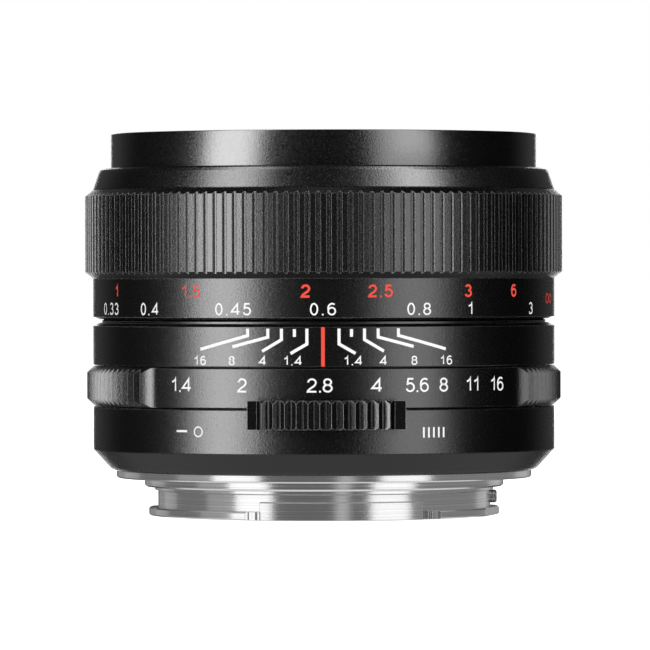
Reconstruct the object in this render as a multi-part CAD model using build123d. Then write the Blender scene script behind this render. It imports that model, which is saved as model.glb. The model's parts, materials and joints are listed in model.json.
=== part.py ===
"""Manual-focus prime lens, 35 mm f/1.4, for a mirrorless camera.

The lens stands on its mount with the optical axis along +Z and the front element up. The origin is on the
axis in the plane of the mount flange that seats on the camera, so the bayonet is below z = 0. The index line
of the scales faces -Y. Azimuths are degrees from -Y, positive towards +X. Lengths are millimetres.
It is modelled focused at 0.6 m and set to f/2.8.
"""
from build123d import *
from math import asin, atan2, cos, degrees, hypot, pi, radians, sin, sqrt
import os

# ---- driving dimensions -------------------------------------------------------------------------------
BODY_R = 32.92            # outside of the fixed barrel, scale skirt and rear housing
GRIP_R = 34.03            # over the focus ring's teeth
COLLAR_R = 30.35          # filter collar
TAB_R = 33.80             # over the aperture ring's finger tabs
APERTURE_R = 32.75        # plain part of the aperture ring
FLANGE_R = 29.60          # mount flange
REGISTER_R = 25.60        # locating register of the mount
TUBE_R = 23.70            # bayonet tube
LAND_R = 24.30            # tube between the lugs
LUG_R = 25.00             # bayonet lugs
THROAT_R = 21.90          # bore of the mount
FILTER_R = 28.60          # crest radius of the M58 x 0.75 filter thread

FLANGE_Z = 1.03
REGISTER_Z = -1.27
SHOULDER_Z = -1.75
LUG_TOP_Z = -4.20
MOUNT_END_Z = -5.45
HOUSING_TOP_Z = 10.19
APERTURE_Z = (10.38, 15.90)
DOF_Z = (16.08, 22.04)
FOCUS_Z = (22.60, 40.90)
GRIP_Z = (28.33, 40.90)
BEZEL_Z = (40.95, 43.97)
COLLAR_TOP_Z = 48.90

BARREL_R = (27.60, 29.00)     # fixed inner barrel
INNER_R = (24.00, 26.50)      # sliding inner barrel
HELICOID_R = 26.70            # bore of the rotating helicoid ring

TOOTH_COUNT = 144             # focus grip
TOOTH_PITCH = 360 / TOOTH_COUNT
FOCUS_NEAR, FOCUS_FAR = 67.8, -77.4          # focus ring stops, 0.33 m and infinity
FOCUS_LEAD = 11.9                            # helicoid travel for one turn
APERTURE_OPEN, APERTURE_SHUT = 38.8, -48.6   # aperture ring stops, f/1.4 and f/16
SWITCH_TRAVEL = 7.3                          # click switch, degrees
BLADE_COUNT = 8
BLADE_RATIO = 0.33                           # blade turn for one unit of aperture ring turn

LUGS = ((-100.0, -25.2), (39.9, 100.0), (155.0, 215.0))
LANDS = ((-21.8, 34.6), (102.2, 152.8), (217.2, 257.8))
TAB_ARCS = ((-126.0, -45.2), (53.8, 134.3))
MOUNT_SCREW_AZ = (45, 135, 225, 315)
BARREL_SCREW_AZ = (0, 120, 240)
KEY_AZ = (60, 300)
DRIVE_AZ = 180.0
CLICK_AZ = 120.0

FIT = 0.05                    # radial clearance of small pins in their holes


# ---- helpers ------------------------------------------------------------------------------------------
def at(azimuth, radius, z=0.0):
    """Point at an azimuth and radius."""
    a = radians(azimuth)
    return (radius * sin(a), -radius * cos(a), z)


def turned(*outline):
    """Solid of revolution about the optical axis from a closed (radius, z) outline."""
    wire = Polyline(*[(r, 0, z) for r, z in outline], close=True)
    return revolve(make_face(wire), Axis.Z)


def tube(r_in, r_out, z0, z1):
    """Plain ring."""
    return turned((r_in, z0), (r_out, z0), (r_out, z1), (r_in, z1))


def arc_points(radius, az0, az1, step=3.0):
    """Points along an arc of the plan view."""
    count = max(2, int(abs(az1 - az0) / step) + 1)
    return [at(az0 + (az1 - az0) * i / count, radius)[:2] for i in range(count + 1)]


def sector(r_in, r_out, az0, az1, z0, z1):
    """Ring segment between two azimuths."""
    mid = (az0 + az1) / 2
    outer = ThreePointArc(at(az0, r_out), at(mid, r_out), at(az1, r_out))
    inner = ThreePointArc(at(az1, r_in), at(mid, r_in), at(az0, r_in))
    sides = [Line(at(az1, r_out), at(az1, r_in)), Line(at(az0, r_in), at(az0, r_out))]
    face = make_face([outer, sides[0], inner, sides[1]])
    return Pos(0, 0, z0) * extrude(face, amount=z1 - z0, dir=(0, 0, 1))


def rod(radius, azimuth, r, z0, z1):
    """Cylinder parallel to the axis."""
    x, y, _ = at(azimuth, r)
    return Pos(x, y, (z0 + z1) / 2) * Cylinder(radius, z1 - z0)


def radial_rod(radius, azimuth, r0, r1, z):
    """Cylinder that points away from the axis."""
    turn = Rot(0, 0, azimuth - 90)
    return turn * Pos((r0 + r1) / 2, 0, z) * Rot(0, 90, 0) * Cylinder(radius, r1 - r0)


def box_at(azimuth, r0, r1, width, z0, z1):
    """Box with one side facing the axis."""
    turn = Rot(0, 0, azimuth - 90)
    return turn * Pos((r0 + r1) / 2, 0, (z0 + z1) / 2) * Box(r1 - r0, width, z1 - z0)


def sag(curve, radius):
    """Depth of a spherical surface, positive where its rim lies behind its vertex."""
    return 0.0 if curve == 0 else curve - (1 if curve > 0 else -1) * sqrt(curve**2 - radius**2)


def glass(z_front, front_curve, z_rear, rear_curve, radius):
    """Lens element. A curve is positive with its centre behind the surface, negative in front, 0 flat."""
    def surface(z, curve, r0, r1):
        ends = [(r, 0, z - sag(curve, r)) for r in (r0, (r0 + r1) / 2, r1)]
        return Line(ends[0], ends[2]) if curve == 0 else ThreePointArc(*ends)
    front = surface(z_front, front_curve, 0, radius)
    rear = surface(z_rear, rear_curve, radius, 0)
    edges = [front, Line(front @ 1, rear @ 0), rear, Line(rear @ 1, front @ 0)]
    return revolve(make_face(edges), Axis.Z)


def csk_screw(azimuth, r, z_face, head_r, shank_r, length, down=True):
    """Countersunk cross-head screw, head flush with z_face, shank going up (down=True) or down."""
    way = 1 if down else -1
    cone = head_r - shank_r
    outline = ((0, 0), (head_r, 0), (head_r, 0.12), (shank_r, 0.12 + cone), (shank_r, length), (0, length))
    wire = Polyline(*[(x, 0, way * z) for x, z in outline], close=True)
    body = revolve(make_face(wire), Axis.Z)
    for angle in (0, 90):
        body -= Rot(0, 0, angle) * Pos(0, 0, way * 0.2) * Box(head_r * 1.1, 0.26, 0.41)
    x, y, _ = at(azimuth, r)
    return Pos(x, y, z_face) * Rot(0, 0, azimuth) * body


def csk_hole(azimuth, r, z_face, head_r, shank_r, length, way=1):
    """Hole for a countersunk screw, a little larger than the screw."""
    gap = 0.04
    head, shank = head_r + gap, shank_r + gap
    outline = ((0, -0.5), (head, -0.5), (head, 0.12), (shank, 0.12 + head - shank), (shank, length),
               (0, length))
    wire = Polyline(*[(x, 0, way * z) for x, z in outline], close=True)
    x, y, _ = at(azimuth, r)
    return Pos(x, y, z_face) * revolve(make_face(wire), Axis.Z)


# ---- mount --------------------------------------------------------------------------------------------
LAND_TOP_Z = -2.85
LEAD_STEPS = ((0.0, 1.3, 24.62), (1.3, 2.5, 24.88), (2.5, 3.6, 24.50))   # small steps at a lug's end
LEAD_FLAT_AZ, LEAD_FLAT_R = 77.7, 24.44      # flat that starts the right-hand lug into the camera
MOUNT_SCREW = dict(head_r=1.45, shank_r=0.80, length=2.70)
MOUNT_SCREW_R = 27.55
LOCK_PIN = dict(az=270, r=27.60, hole_r=1.10)


def mount_flange():
    """Bayonet with three lugs, locating register, screw holes and lock-pin hole."""
    body = turned(
        (THROAT_R, MOUNT_END_Z + 0.2), (THROAT_R + 0.2, MOUNT_END_Z), (TUBE_R - 0.1, MOUNT_END_Z),
        (TUBE_R, MOUNT_END_Z + 0.1), (TUBE_R, SHOULDER_Z - 0.1), (TUBE_R + 0.1, SHOULDER_Z),
        (TUBE_R + 0.45, SHOULDER_Z), (TUBE_R + 0.45, REGISTER_Z), (REGISTER_R - 0.25, REGISTER_Z),
        (REGISTER_R, REGISTER_Z + 0.25), (REGISTER_R, 0), (FLANGE_R - 0.18, 0), (FLANGE_R, 0.18),
        (FLANGE_R, FLANGE_Z), (THROAT_R, FLANGE_Z))
    land = turned((TUBE_R - 0.4, MOUNT_END_Z), (LAND_R - 0.10, MOUNT_END_Z), (LAND_R, MOUNT_END_Z + 0.10),
                  (LAND_R, LAND_TOP_Z - 0.12), (LAND_R - 0.12, LAND_TOP_Z), (TUBE_R - 0.4, LAND_TOP_Z))
    for az0, az1 in LANDS:
        body += land & sector(TUBE_R - 0.5, LAND_R + 1, az0, az1, MOUNT_END_Z - 1, -2)
    for az0, az1 in LUGS:
        lug = turned((TUBE_R - 0.4, LUG_TOP_Z), (LUG_R - 0.2, LUG_TOP_Z), (LUG_R, LUG_TOP_Z - 0.2),
                     (LUG_R, MOUNT_END_Z + 0.28), (LUG_R - 0.18, MOUNT_END_Z + 0.1),
                     (TUBE_R - 0.4, MOUNT_END_Z + 0.1))
        lug &= sector(TUBE_R - 0.5, LUG_R + 1, az0 - 1.8, az1 + 1.8, MOUNT_END_Z - 1, -2)
        for end in (az0 - 1.9, az1 + 1.9):
            lug -= rod(1.55, end, LUG_R + 0.85, MOUNT_END_Z - 1, -2)
        body += lug
    low = MOUNT_END_Z + 0.1
    for edge, way in ((LUGS[0][1], 1), (LUGS[1][0], -1)):
        for near, far, radius in LEAD_STEPS:
            az0, az1 = sorted((edge + way * near, edge + way * far))
            body += sector(TUBE_R - 0.4, radius, az0, az1, low, LUG_TOP_Z)
    body -= box_at(LEAD_FLAT_AZ, LEAD_FLAT_R, LUG_R + 2, 14.0, MOUNT_END_Z - 1, LUG_TOP_Z + 0.3)
    for az in MOUNT_SCREW_AZ:
        body -= csk_hole(az, MOUNT_SCREW_R, 0, **MOUNT_SCREW)
    body -= rod(LOCK_PIN["hole_r"], LOCK_PIN["az"], LOCK_PIN["r"], -0.5, FLANGE_Z + 0.5)
    body -= radial_rod(0.55, STOP_AZ, TUBE_R - 3, TUBE_R + 1, STOP_Z)
    return body


def mount_screws():
    """Four countersunk screws that hold the flange and shim on the housing."""
    return Compound([csk_screw(az, MOUNT_SCREW_R, 0, **MOUNT_SCREW) for az in MOUNT_SCREW_AZ])


STOP_AZ, STOP_Z = 88.0, -2.78


def bayonet_stop_screw():
    """Pan-head screw in the tube that stops the lens turning past its locked place."""
    head = radial_rod(0.93, STOP_AZ, TUBE_R - 0.02, TUBE_R + 0.95, STOP_Z)
    head = chamfer(head.edges().sort_by_distance(at(STOP_AZ, TUBE_R + 0.95, STOP_Z))[0], 0.2)
    shank = radial_rod(0.50, STOP_AZ, TUBE_R - 1.2, TUBE_R, STOP_Z)
    slot = box_at(STOP_AZ, TUBE_R + 0.6, TUBE_R + 1.2, 0.28, STOP_Z - 2, STOP_Z + 2)
    return head + shank - slot - tube(TUBE_R - 0.6, TUBE_R, STOP_Z - 2, STOP_Z + 2) + shank


def flange_shim():
    """Thin ring that sets the distance from the flange to the image."""
    ring = tube(25.9, 28.95, FLANGE_Z, FLANGE_Z + 0.10)
    for az in MOUNT_SCREW_AZ:
        ring -= rod(0.95, az, MOUNT_SCREW_R, 0, 3)
    return ring


def rear_baffle():
    """Black light trap in the throat of the mount."""
    return turned((19.6, -5.0), (THROAT_R - 0.03, -5.0), (THROAT_R - 0.03, 0.9), (21.3, 0.9),
                  (21.3, -4.1), (19.6, -4.5))


# ---- fixed barrel -------------------------------------------------------------------------------------
SWITCH_Z = (8.30, 9.95)
BARREL_SCREW = dict(head_r=1.30, shank_r=0.70, length=3.10)
BARREL_SCREW_R = 26.60


def rear_housing():
    """Rear shell with a chamfered foot, the slot for the click switch and the seat of the mount."""
    body = turned(
        (24.2, FLANGE_Z + 0.10), (29.0, FLANGE_Z + 0.10), (29.0, FLANGE_Z + 0.01), (29.78, FLANGE_Z + 0.01),
        (30.28, 1.22), (30.62, 1.52), (BODY_R - 0.06, 3.98), (BODY_R, 4.12), (BODY_R, HOUSING_TOP_Z - 0.12),
        (BODY_R - 0.12, HOUSING_TOP_Z), (30.95, HOUSING_TOP_Z), (30.95, 4.85), (29.05, 4.85), (29.05, 3.0),
        (24.2, 3.0))
    for az in MOUNT_SCREW_AZ:
        body -= rod(0.82, az, MOUNT_SCREW_R, 0, 2.85)
    for az in BARREL_SCREW_AZ:
        body -= csk_hole(az, BARREL_SCREW_R, FLANGE_Z + 0.1, **BARREL_SCREW)
    left = NECK_AZ[0] - SWITCH_TRAVEL - 0.8
    right = NECK_AZ[1] + 0.8
    body -= sector(30.0, 34.0, left, right, SWITCH_Z[0] - 0.2, HOUSING_TOP_Z + 1)
    return body


def main_barrel():
    """Fixed inner barrel that carries every moving ring."""
    r_in, r_out = BARREL_R
    body = turned((24.6, 3.0), (r_out, 3.0), (r_out, 24.6), (29.95, 24.6), (29.95, 26.1), (r_in, 26.1),
                  (r_in, 4.6), (24.6, 4.6))
    for az in BARREL_SCREW_AZ:
        body -= rod(BARREL_SCREW["shank_r"] + 0.02, az, BARREL_SCREW_R, 0, 4.4)
    reach = 6.5
    body -= sector(r_in - 1, r_out + 1, DRIVE_AZ + APERTURE_SHUT - reach, DRIVE_AZ + APERTURE_OPEN + reach,
                   10.95, 14.6)
    for az in KEY_AZ:
        for z in KEY_SCREW_Z:
            body -= radial_rod(0.55, az, r_in - 0.5, r_out + 0.5, z)
    return body


def barrel_screws():
    """Three screws, hidden under the mount, that hold the inner barrel on the housing."""
    z = FLANGE_Z + 0.1
    return Compound([csk_screw(az, BARREL_SCREW_R, z, **BARREL_SCREW) for az in BARREL_SCREW_AZ])


KEY_SCREW_Z = (20.1, 22.2)
KEY_WIDTH = 2.8


def straight_keys():
    """Two keys on the fixed barrel that let the inner barrel slide but not turn."""
    keys = []
    for az in KEY_AZ:
        key = box_at(az, 25.35, 28.5, KEY_WIDTH, 19.0, 23.4) & tube(25.3, BARREL_R[0] - 0.01, 18, 27)
        for z in KEY_SCREW_Z:
            key -= radial_rod(0.47, az, 26.2, 28.5, z)
        keys.append(key)
    return Compound(keys)


def key_screws():
    """Cheese-head screws, hidden under the depth-of-field ring, that hold the keys."""
    screws = []
    for az in KEY_AZ:
        for z in KEY_SCREW_Z:
            shank = radial_rod(0.45, az, 26.4, BARREL_R[1] + 0.1, z)
            head = radial_rod(0.85, az, BARREL_R[1] + 0.03, BARREL_R[1] + 0.6, z)
            slot = box_at(az, BARREL_R[1] + 0.35, BARREL_R[1] + 1, 0.22, z - 1, z + 1)
            screws.append(shank + head - slot)
    return Compound(screws)


DOF_SCREW_AZ = (30, 150, 270)
DOF_SCREW_R = 29.85


def dof_ring():
    """Fixed ring with the depth-of-field scale and the index line."""
    z0, z1 = DOF_Z
    ring = turned(
        (BARREL_R[1] + 0.02, z0), (BODY_R - 0.12, z0), (BODY_R, z0 + 0.12), (BODY_R, z1 - 0.42),
        (32.05, z1), (31.65, z1), (31.65, z1 + 0.30), (31.25, z1 + 0.60), (31.25, z1 + 0.92),
        (30.75, z1 + 0.92), (30.75, z0 + 1.6), (BARREL_R[1] + 0.02, z0 + 1.6))
    for az in DOF_SCREW_AZ:
        ring -= rod(0.58, az, DOF_SCREW_R, z0 - 1, z0 + 3)
    return ring


def dof_set_screws():
    """Three grub screws that fix the depth-of-field ring, reached before the aperture ring goes on."""
    screws = []
    for az in DOF_SCREW_AZ:
        x, y, _ = at(az, DOF_SCREW_R)
        screw = Pos(x, y, DOF_Z[0] + 0.95) * Cylinder(0.55, 1.2)
        screws.append(screw - Pos(x, y, DOF_Z[0] + 0.4) * Box(1.4, 0.25, 0.3))
    return Compound(screws)


# ---- focus ring ---------------------------------------------------------------------------------------
TOOTH_HALF = ((0.53, 0), (0.85, 0.34))    # share of half a pitch, depth below the crest


def toothed_disc(z0, z1):
    """Straight-toothed cylinder: flat crests, sloping flanks, narrow floors."""
    half = TOOTH_PITCH / 2
    profile = [(-share, depth) for share, depth in reversed(TOOTH_HALF)] + list(TOOTH_HALF)
    points = []
    for i in range(TOOTH_COUNT):
        for share, depth in profile:
            points.append(at(i * TOOTH_PITCH + half * share, GRIP_R - depth, z0))
    return extrude(make_face(Polyline(*points, close=True)), amount=z1 - z0, dir=(0, 0, 1))


def focus_ring():
    """Focus ring, one piece with its toothed grip and its distance-scale skirt."""
    z0, z1 = FOCUS_Z
    grip0 = GRIP_Z[0]
    grip = toothed_disc(grip0, z1) & turned((0, grip0), (BODY_R, grip0), (GRIP_R + 0.01, grip0 + 0.95),
                                            (GRIP_R + 0.01, z1 - 0.86), (33.05, z1), (0, z1))
    skirt = turned((0, z0), (BODY_R - 0.9, z0), (BODY_R, z0 + 0.30), (BODY_R, grip0 + 0.05),
                   (0, grip0 + 0.05))
    bore = turned((0, z0 - 1), (31.80, z0 - 1), (31.80, 29.0), (32.10, 29.4), (32.10, 37.25), (30.70, 37.25),
                  (30.70, 38.60), (32.06, 38.60), (32.06, z1 + 1), (0, z1 + 1))
    body = grip + skirt - bore
    for az in RING_SCREW_AZ:
        body -= csk_hole(az, RING_SCREW_R, 38.60, way=-1, **RING_SCREW)
    return body


RING_SCREW = dict(head_r=0.62, shank_r=0.38, length=2.2)
RING_SCREW_R = 31.38
RING_SCREW_AZ = (40, 160, 280)


def focus_ring_screws():
    """Three screws under the bezel that clamp the focus ring to the helicoid, set at infinity adjustment."""
    return Compound([csk_screw(az, RING_SCREW_R, 38.60, down=False, **RING_SCREW) for az in RING_SCREW_AZ])


def front_bezel():
    """Tapered cover ring screwed into the front of the focus ring."""
    z0, z1 = BEZEL_Z
    return turned((31.0, 39.2), (32.02, 39.2), (32.02, z0), (BODY_R - 0.04, z0), (BODY_R, z0 + 0.06),
                  (32.12, z1 - 0.62), (31.92, z1 - 0.22), (31.55, z1), (30.72, z1), (30.62, z1 - 0.1),
                  (30.62, 41.4), (31.0, 41.0))


def helicoid_ring():
    """Brass ring that turns with the focus ring and screws the inner barrel in and out."""
    body = turned(
        (HELICOID_R, 26.3), (30.15, 26.3), (30.15, 23.3), (31.2, 23.3), (31.2, 27.6), (29.6, 27.6),
        (29.6, 35.8), (32.0, 35.8), (32.0, 37.22), (HELICOID_R, 37.22))
    for az in RING_SCREW_AZ:
        body -= rod(RING_SCREW["shank_r"] + 0.02, az, RING_SCREW_R, 36.2, 38)
    return body


def helicoid_retainer():
    """Slotted ring screwed into the helicoid's skirt, so that it turns on the fixed barrel's rim."""
    ring = tube(29.2, 30.12, 23.5, 24.4)
    for az in (0, 180):
        ring -= box_at(az, 29.0, 30.5, 1.0, 23.2, 23.9)
    return ring


# ---- sliding optical block ----------------------------------------------------------------------------
IRIS_BASE_Z = (15.40, 16.60)
CAM_Z = (18.35, 19.35)
DRIVE_PIN_Z = 18.85


def inner_barrel():
    """Sliding barrel that holds both cells and the iris, with key slots and the iris drive window."""
    r_in, r_out = INNER_R
    body = tube(r_in, r_out, 10.5, 41.5)
    for az in KEY_AZ:
        body -= box_at(az, 25.15, 28, KEY_WIDTH + 0.2, 16.5, 30.0)
    reach = 3.5
    body -= sector(r_in - 1, r_out + 1, DRIVE_AZ + APERTURE_SHUT - reach, DRIVE_AZ + APERTURE_OPEN + reach,
                   DRIVE_PIN_Z - 0.75, DRIVE_PIN_Z + 0.75)
    return body


def front_collar():
    """Filter collar, which moves in and out with the optics."""
    top = COLLAR_TOP_Z
    return turned(
        (26.55, 40.6), (COLLAR_R - 0.15, 40.6), (COLLAR_R, 40.75), (COLLAR_R, top - 0.12),
        (COLLAR_R - 0.12, top), (29.05, top), (FILTER_R, top - 0.40), (FILTER_R, 45.6), (27.60, 45.6),
        (27.60, 42.2), (26.55, 42.2))


def name_ring():
    """Black front ring that hides the front cell's retainer."""
    return turned((20.3, 43.35), (27.5, 43.35), (27.5, 45.1), (27.0, 45.1), (20.9, 43.95), (20.3, 43.85))


def front_cell():
    """Cell for the elements ahead of the iris."""
    r = INNER_R[0] - 0.04
    return turned(
        (12.6, 21.2), (r, 21.2), (r, 41.55), (26.4, 41.55), (26.4, 43.2), (20.1, 43.2), (20.1, 34.9),
        (18.2, 34.9), (18.2, 31.6), (15.4, 31.6), (15.4, 25.6), (13.2, 25.6), (13.2, 22.0), (12.6, 21.6))


def front_retainer():
    """Threaded ring that holds the front element."""
    ring = tube(18.9, 20.05, 39.16, 41.2)
    for az in (90, 270):
        ring -= box_at(az, 18.5, 20.3, 1.2, 40.6, 42)
    return ring


def second_retainer():
    """Threaded ring that holds the second element."""
    return tube(16.6, 18.15, 33.36, 34.8)


def front_element():
    return glass(42.2, 60, 40.2, 41, 19.95)


def second_element():
    return glass(36.5, 45, 30.75, -120, 17.5)


def third_element():
    return glass(29.9, 32, 25.62, 0, 14.6)


def fourth_element():
    return glass(25.60, 0, 24.4, 45, 13.1)


def third_element_seat():
    """Ring that locates the cemented pair ahead of the iris."""
    return tube(14.65, 15.35, 25.65, 31.5)


def iris_base():
    """Plate with the pivot holes of the blades."""
    body = tube(10.6, INNER_R[0] - 0.04, *IRIS_BASE_Z)
    for k in range(BLADE_COUNT):
        body -= rod(PIVOT_PIN_R + FIT, blade_azimuth(k), PIVOT_R, 15, 17)
    return body


def iris_cover():
    """Ring that keeps the cam ring in its seat."""
    return turned((17.6, 19.6), (INNER_R[0] - 0.04, 19.6), (INNER_R[0] - 0.04, 21.15), (16.0, 21.15),
                  (16.0, 20.3), (17.6, 20.3))


def rear_cell():
    """Cell for the elements behind the iris. Its tail runs in the throat of the mount."""
    return turned(
        (11.95, 15.3), (INNER_R[0] - 0.04, 15.3), (INNER_R[0] - 0.04, 11.0), (19.0, 11.0), (19.0, -0.9),
        (18.9, -1.0), (14.3, -1.0), (13.7, -0.4), (13.7, 6.0), (12.5, 6.0), (12.5, 10.9), (11.95, 10.9))


def fifth_element():
    return glass(12.4, -30, 11.02, 0, 11.85)


def sixth_element():
    return glass(11.0, 0, 6.5, -28, 12.4) & tube(0, 12.4, 6, 10.88) + glass(11.0, 0, 10.0, 0, 11.85)


def seventh_element():
    return glass(5.9, 60, 1.8, -50, 13.6)


def rear_element():
    return glass(1.0, -60, -0.4, -45, 13.5)


def rear_spacer():
    """Stepped ring between the cemented pair and the seventh element."""
    return turned((12.95, 4.52), (13.65, 4.52), (13.65, 5.95), (12.42, 5.95), (12.42, 9.0), (11.75, 9.0),
                  (11.75, 5.2), (12.95, 5.2))


def last_spacer():
    """Ring between the seventh element and the rear element."""
    return tube(12.95, 13.62, 2.58, 3.45)


def rear_retainer():
    """Threaded ring that holds the rear element."""
    ring = tube(12.3, 13.65, -0.35, 1.25)
    for az in (90, 270):
        ring -= box_at(az, 12.0, 14.0, 1.0, -1, 0.1)
    return ring


# ---- iris ---------------------------------------------------------------------------------------------
BLADE_INNER_R, BLADE_OUTER_R = 12.3, 17.4     # the blade's sickle, measured when it is wide open
BLADE_SPAN = 118.0
BLADE_T, BLADE_PITCH_Z, BLADE_Z0 = 0.10, 0.17, 16.78
PIVOT_R, PIVOT_PIN_R = 19.4, 0.25
FOLLOWER_REACH = 5.2                          # from the pivot to the pin in the cam slot
CLOSED_SHIFT = 6.00                           # how far the sickle's centre has moved at f/2.8
REST_SWING = degrees(2 * asin(CLOSED_SHIFT / (2 * PIVOT_R)))
FOLLOWER_LEAN = 8.0                           # of the follower arm at rest


def blade_azimuth(k):
    return k * 360 / BLADE_COUNT


def blade_level(k):
    return BLADE_Z0 + k * BLADE_PITCH_Z


def follower_local(swing):
    """Follower pin of the blade whose pivot is at azimuth 0, with the blade turned by swing from rest."""
    angle = radians(180 + FOLLOWER_LEAN + swing)
    return (FOLLOWER_REACH * cos(angle), -PIVOT_R + FOLLOWER_REACH * sin(angle))


def blade(k):
    """Sickle blade with its pivot pin below and its follower pin above, each blade on its own level."""
    z = blade_level(k)
    sickle = sector(BLADE_INNER_R, BLADE_OUTER_R, 4.0, BLADE_SPAN, 0, BLADE_T)
    for az in (4.0, BLADE_SPAN):
        mid_r = (BLADE_INNER_R + BLADE_OUTER_R) / 2
        x, y, _ = at(az, mid_r)
        sickle += Pos(x, y, BLADE_T / 2) * Cylinder((BLADE_OUTER_R - BLADE_INNER_R) / 2, BLADE_T)
    pivot = Pos(0, -PIVOT_R, 0)
    swung = pivot * Rot(0, 0, REST_SWING) * Pos(0, PIVOT_R, 0) * sickle
    fx, fy = follower_local(0)
    arm_length = hypot(fx, fy + PIVOT_R)
    arm = Pos(arm_length / 2, 0, BLADE_T / 2) * Box(arm_length, 1.5, BLADE_T)
    arm = pivot * Rot(0, 0, 180 + FOLLOWER_LEAN) * arm
    neck_end = swung_point(at(4.0, 15.4))
    body = swung + arm + bar(neck_end, (0, -PIVOT_R), 2.4, BLADE_T)
    body += Pos(0, -PIVOT_R, BLADE_T / 2) * Cylinder(1.2, BLADE_T)
    body += Pos(fx, fy, BLADE_T / 2) * Cylinder(0.75, BLADE_T)
    pin_down = z - (IRIS_BASE_Z[0] + 0.2)
    body += Pos(0, -PIVOT_R, -pin_down / 2) * Cylinder(PIVOT_PIN_R, pin_down)
    pin_up = CAM_Z[1] - 0.1 - z
    body += Pos(fx, fy, pin_up / 2) * Cylinder(PIVOT_PIN_R, pin_up)
    return Rot(0, 0, blade_azimuth(k)) * Pos(0, 0, z) * body


def swung_point(point):
    """A point of the open blade after the swing to f/2.8."""
    a = radians(REST_SWING)
    x, y = point[0], point[1] + PIVOT_R
    return (x * cos(a) - y * sin(a), x * sin(a) + y * cos(a) - PIVOT_R)


def bar(start, end, width, height):
    """Flat bar between two plan points."""
    dx, dy = end[0] - start[0], end[1] - start[1]
    middle = Pos((start[0] + end[0]) / 2, (start[1] + end[1]) / 2, height / 2)
    return middle * Rot(0, 0, degrees(atan2(dy, dx))) * Box(hypot(dx, dy), width, height)


def cam_slot(k):
    """Slot that the follower pin of one blade traces in the turning cam ring."""
    steps = 12
    low, high = APERTURE_SHUT - 2.0, APERTURE_OPEN + 2.0
    points = []
    for i in range(steps + 1):
        ring_turn = low + (high - low) * i / steps
        x, y = follower_local(-BLADE_RATIO * ring_turn)
        a = radians(-ring_turn)
        points.append((x * cos(a) - y * sin(a), x * sin(a) + y * cos(a)))
    slot = trace(Spline(*points), 2 * (PIVOT_PIN_R + 0.08))
    return Rot(0, 0, blade_azimuth(k)) * Pos(0, 0, CAM_Z[0] - 0.5) * extrude(slot, amount=2, dir=(0, 0, 1))


def iris_cam_ring():
    """Slotted ring that turns with the aperture ring and swings all the blades."""
    body = tube(16.9, 23.7, *CAM_Z)
    for k in range(BLADE_COUNT):
        body -= cam_slot(k)
    return body


def iris_drive_pin():
    """Pin from the cam ring through the inner barrel's window into the drive fork."""
    return radial_rod(0.45, DRIVE_AZ, 23.72, 27.42, DRIVE_PIN_Z)


# ---- aperture ring ------------------------------------------------------------------------------------
RIB_PITCH = 2.35
RIB_DEPTH = 0.66
TAB_RAMP = 4.2


def ramp_radius(share):
    """Radius of a tab's end ramp, hollow from the ring (0) up to the tab's top (1)."""
    return APERTURE_R + (TAB_R - APERTURE_R) * share**2


def tab_outline(az0, az1):
    """Plan outline of one finger tab: a hollow ramp at each end and V ribs between."""
    inner = BARREL_R[1] + 1.0
    shares = [i / 8 for i in range(9)]
    points = [at(az0, inner)]
    points += [at(az0 + TAB_RAMP * share, ramp_radius(share)) for share in shares]
    count = int((az1 - az0 - 2 * TAB_RAMP) / RIB_PITCH)
    pitch = (az1 - az0 - 2 * TAB_RAMP) / count
    for i in range(count):
        start = az0 + TAB_RAMP + i * pitch
        points.append(at(start + pitch * 0.46, TAB_R - RIB_DEPTH))
        points.append(at(start + pitch * 0.54, TAB_R - RIB_DEPTH))
        if i < count - 1:
            points.append(at(start + pitch, TAB_R))
    points += [at(az1 - TAB_RAMP * share, ramp_radius(share)) for share in reversed(shares)]
    points.append(at(az1, inner))
    points += [at(az1 + (az0 - az1) * i / 12, inner) for i in range(1, 12)]
    return Polyline(*points, close=True)


CLICK_STOPS = (38.8, 20.0, 0.0, -14.0, -24.5, -31.8, -40.8, -48.6)   # f/1.4 to f/16, ring angles


def aperture_ring():
    """Aperture ring with its two finger tabs and the click dimples in its lower face."""
    z0, z1 = APERTURE_Z
    r_in = BARREL_R[1] + 0.15
    body = turned((r_in, z0), (APERTURE_R - 0.1, z0), (APERTURE_R, z0 + 0.1), (APERTURE_R, z1 - 0.1),
                  (APERTURE_R - 0.1, z1), (r_in, z1), (r_in, z1 - 1.2), (r_in + 0.9, z1 - 1.6),
                  (r_in + 0.9, z0 + 3.2), (r_in, z0 + 2.8))
    envelope = turned((20, z0), (BODY_R - 0.02, z0), (TAB_R + 0.01, z0 + 0.93), (TAB_R + 0.01, z1 - 0.93),
                      (BODY_R - 0.02, z1), (20, z1))
    for az0, az1 in TAB_ARCS:
        tab = Pos(0, 0, z0) * extrude(make_face(tab_outline(az0, az1)), amount=z1 - z0, dir=(0, 0, 1))
        body += (tab & envelope) - tube(20, r_in + 1.2, z0 - 1, z1 + 1)
    body -= sector(r_in - 1, 31.2, DRIVE_AZ - 8.5, DRIVE_AZ + 8.5, z0 - 1, 12.45)
    for az in FORK_SCREW_AZ:
        body -= rod(0.42, az, 30.2, 12, 14.0)
    for turn in CLICK_STOPS:
        x, y, _ = at(CLICK_AZ - turn, CLICK_R)
        body -= Pos(x, y, z0 - 0.25) * Sphere(0.6)
    return body


FORK_SCREW_AZ = (DRIVE_AZ - 5.5, DRIVE_AZ + 5.5)
FORK_R = (26.75, 27.30)


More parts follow.
